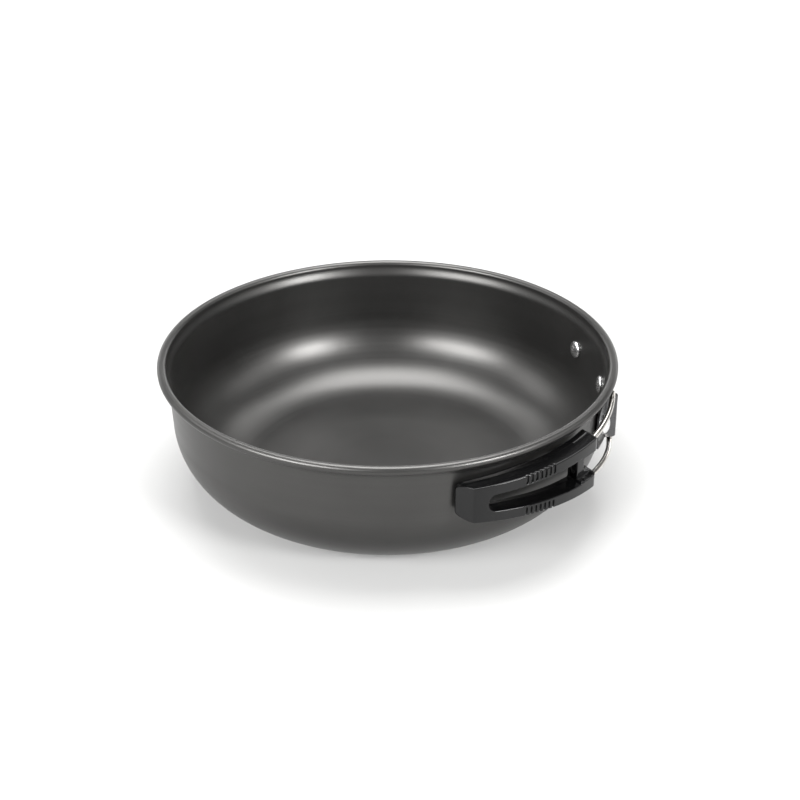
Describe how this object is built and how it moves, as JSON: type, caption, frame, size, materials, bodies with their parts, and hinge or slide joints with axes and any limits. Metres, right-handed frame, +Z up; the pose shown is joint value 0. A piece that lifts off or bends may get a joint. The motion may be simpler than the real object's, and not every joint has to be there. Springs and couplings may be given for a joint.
{
  "type": "camping frying pan",
  "caption": "Deep round camping frying pan with a rolled rim, a riveted hinge strap and folding wire handles whose slotted plastic grips wrap round the wall.",
  "frame": {"origin": "centre of the flat base, on the pan's axis, at the level the pan stands on", "axes": "+Z up along the pan's axis; +X towards the middle of the hinge strap, the way the opened handles point; the handles are mirror twins about the XZ plane, the right one on -Y"},
  "size_m": [0.2, 0.2, 0.0578],
  "materials": {
    "pan_aluminium": "dark grey hard-anodised, satin",
    "strap_steel": "stamped stainless, satin",
    "rivet_aluminium": "bright",
    "wire_steel": "drawn stainless, bright",
    "grip_plastic": "glossy black moulded"
  },
  "bodies": {
    "pan": {"pan_body": "pan_aluminium", "hinge_strap": "strap_steel", "centre_rivet": "rivet_aluminium", "right_rivet": "rivet_aluminium", "left_rivet": "rivet_aluminium"},
    "right_handle": {"right_handle_wire": "wire_steel", "right_grip": "grip_plastic"},
    "left_handle": {"left_handle_wire": "wire_steel", "left_grip": "grip_plastic"}
  },
  "joints": [
    {"name": "right_handle_hinge", "type": "hinge", "parent": "pan", "child": "right_handle", "pos_m": [0.0949, -0.02743, 0.04], "axis": [0, 0, 1], "range_deg": [0, 141]},
    {"name": "left_handle_hinge", "type": "hinge", "parent": "pan", "child": "left_handle", "pos_m": [0.0949, 0.02743, 0.04], "axis": [0, 0, 1], "range_deg": [-141, 0]}
  ]
}
